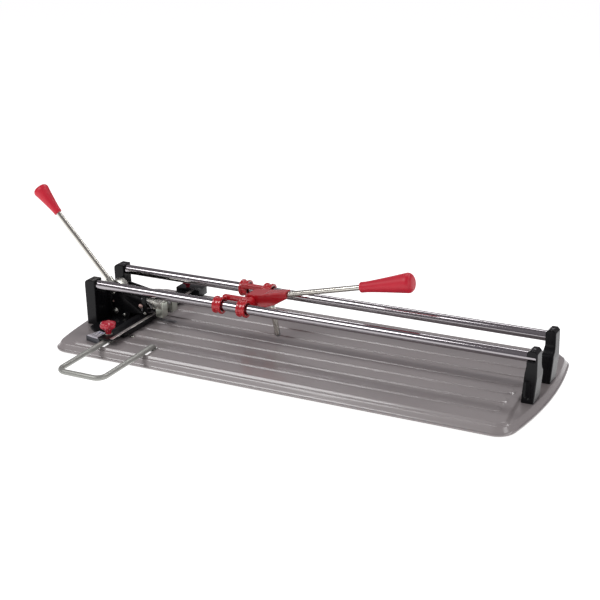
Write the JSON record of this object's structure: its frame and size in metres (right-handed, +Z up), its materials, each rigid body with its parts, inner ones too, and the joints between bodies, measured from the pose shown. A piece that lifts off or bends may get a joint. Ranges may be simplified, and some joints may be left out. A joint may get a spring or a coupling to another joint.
{
  "type": "tile_cutter",
  "caption": "Manual tile cutter with a scoring carriage on two chromed guide rails, a separate breaker lever, a swivelling fence and a ribbed grey base",
  "frame": {"origin": "bench plane under the middle of the guide rails", "axes": "+X along the rails away from the breaker, +Y to the back, +Z up"},
  "size_m": [1.2575, 0.555, 0.3167],
  "materials": {
    "tray_paint": "semi-gloss grey enamel",
    "black_paint": "satin black",
    "rail_chrome": "hard chrome",
    "zinc": "bright zinc plate",
    "steel": "plain steel",
    "carbide": "ground carbide",
    "pink_zinc": "zinc with a copper-pink passivation",
    "red_casting": "gloss red",
    "red_plastic": "moulded red",
    "nylon": "natural nylon",
    "rubber": "black rubber",
    "sector_grey": "satin dark grey",
    "scale_metal": "printed aluminium",
    "ruler_metal": "anodised aluminium"
  },
  "bodies": {
    "base": {"base_tray": "tray_paint", "centre_spine": "steel", "spine_pad": "rubber", "rubber_feet": "rubber", "breaking_anvil": "steel", "deck_screw": "zinc", "front_guide_rail": "rail_chrome", "rear_guide_rail": "rail_chrome", "front_tail_support": "black_paint", "rear_tail_support": "black_paint", "front_head_post": "black_paint", "rear_head_post": "black_paint", "mounting_screws": "steel", "rail_set_screws": "steel", "head_plate": "black_paint", "breaker_base": "black_paint", "front_side_wall": "black_paint", "rear_side_wall": "black_paint", "housing_bolts": "zinc", "lever_pin": "zinc", "spring_studs": "steel", "fence_pivot": "steel", "angle_sector": "sector_grey", "angle_scale": "scale_metal"},
    "carriage": {"front_runner": "red_casting", "rear_runner": "red_casting", "runner_bushes": "nylon", "barrel_screws": "steel", "pivot_pin": "zinc"},
    "scoring_lever": {"lever_head": "red_casting", "lever_rod": "zinc", "lever_grip": "red_plastic", "scoring_shaft": "zinc", "shaft_screw": "zinc", "wheel_axle": "steel"},
    "scoring_wheel": {"scoring_wheel": "carbide"},
    "breaker_lever": {"lever_hub": "zinc", "breaker_rod": "zinc", "breaker_grip": "red_plastic"},
    "press_foot": {"press_beam": "zinc", "foot_yoke": "zinc", "yoke_bolt": "steel", "press_pads": "zinc", "pad_soles": "rubber", "guide_pins": "pink_zinc", "beam_studs": "steel", "return_springs": "steel"},
    "fence": {"fence_bar": "black_paint", "fence_ruler": "ruler_metal", "fence_washer": "steel"},
    "fence_knob": {"fence_knob": "red_plastic"},
    "side_stop": {"side_stop": "black_paint"},
    "stop_knob": {"stop_knob": "red_plastic"},
    "support_arm": {"support_arm": "zinc", "arm_clips": "steel"}
  },
  "joints": [
    {"name": "carriage_slide", "type": "slide", "parent": "base", "child": "carriage", "axis": [1, 0, 0], "range_m": [-0.19, 0.61]},
    {"name": "scoring_swing", "type": "hinge", "parent": "carriage", "child": "scoring_lever", "pos_m": [-0.116, 0, 0.118], "axis": [0, 1, 0], "range_deg": [-35, 10]},
    {"name": "wheel_spin", "type": "hinge", "parent": "scoring_lever", "child": "scoring_wheel", "pos_m": [-0.0666, 0, 0.044], "axis": [0, 1, 0], "continuous": true},
    {"name": "breaker_swing", "type": "hinge", "parent": "base", "child": "breaker_lever", "pos_m": [-0.484, 0, 0.088], "axis": [0, 1, 0], "range_deg": [0, 60]},
    {"name": "foot_travel", "type": "slide", "parent": "base", "child": "press_foot", "axis": [0, 0, 1], "range_m": [-0.0121, 0], "deforming": ["return_springs"]},
    {"name": "fence_swivel", "type": "hinge", "parent": "base", "child": "fence", "pos_m": [-0.403, 0, 0.03], "axis": [0, 0, 1], "range_deg": [-15, 0]},
    {"name": "fence_knob_turn", "type": "hinge", "parent": "fence", "child": "fence_knob", "pos_m": [-0.412, -0.15, 0.05], "axis": [0, 0, 1], "range_deg": [0, 180]},
    {"name": "stop_slide", "type": "slide", "parent": "fence", "child": "side_stop", "axis": [0, 1, 0], "range_m": [-0.09, 0]},
    {"name": "stop_knob_turn", "type": "hinge", "parent": "side_stop", "child": "stop_knob", "pos_m": [-0.403, 0.168, 0.05], "axis": [0, 0, 1], "range_deg": [0, 180]},
    {"name": "arm_slide", "type": "slide", "parent": "base", "child": "support_arm", "axis": [0, -1, 0], "range_m": [0, 0.03]}
  ],
  "couplings": [
    {"joint": "foot_travel", "follows": "breaker_swing", "m_per_rad": -0.01146}
  ]
}
